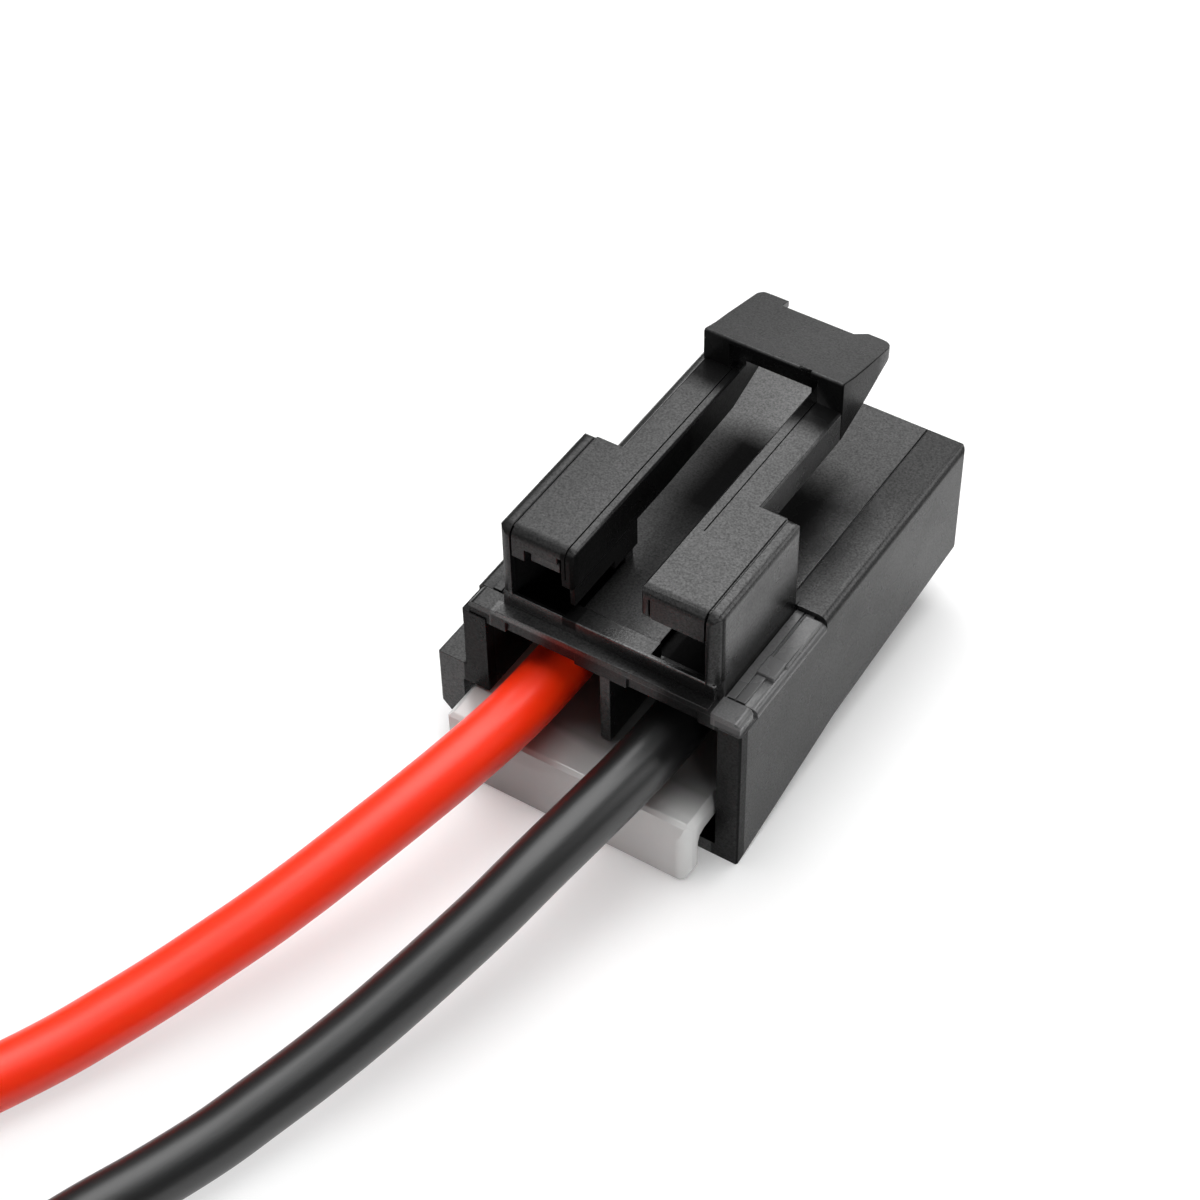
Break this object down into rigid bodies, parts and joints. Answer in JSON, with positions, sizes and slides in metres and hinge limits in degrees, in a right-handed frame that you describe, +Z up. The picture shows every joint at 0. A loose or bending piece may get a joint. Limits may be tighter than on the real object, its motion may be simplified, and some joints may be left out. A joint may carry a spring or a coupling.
{
  "type": "pigtail connector",
  "caption": "Rectangular power connector housing with a latch frame on top, a grey terminal retainer at the rear, and insulated red and black leads with stripped free ends.",
  "frame": {"origin": "on the resting surface, under the middle of the housing's body", "axes": "+Y the mating direction, +Z up towards the latch, +X to the right when looking along +Y"},
  "size_m": [0.0373, 0.1639, 0.0236],
  "materials": {
    "black_nylon": "satin moulded nylon with a fine grain",
    "grey_nylon": "soft gloss, slightly translucent",
    "tinned_sheet": "tin-plated stamped sheet",
    "red_insulation": "satin extruded insulation",
    "black_insulation": "satin extruded insulation",
    "copper_strands": "bare stranded copper"
  },
  "bodies": {
    "root": {"housing": "black_nylon", "terminal_retainer": "grey_nylon", "red_lead_terminal": "tinned_sheet", "black_lead_terminal": "tinned_sheet", "red_lead": "red_insulation", "black_lead": "black_insulation", "red_lead_crimped_strands": "copper_strands", "black_lead_crimped_strands": "copper_strands", "red_lead_bare_end": "copper_strands", "black_lead_bare_end": "copper_strands"}
  },
  "joints": []
}
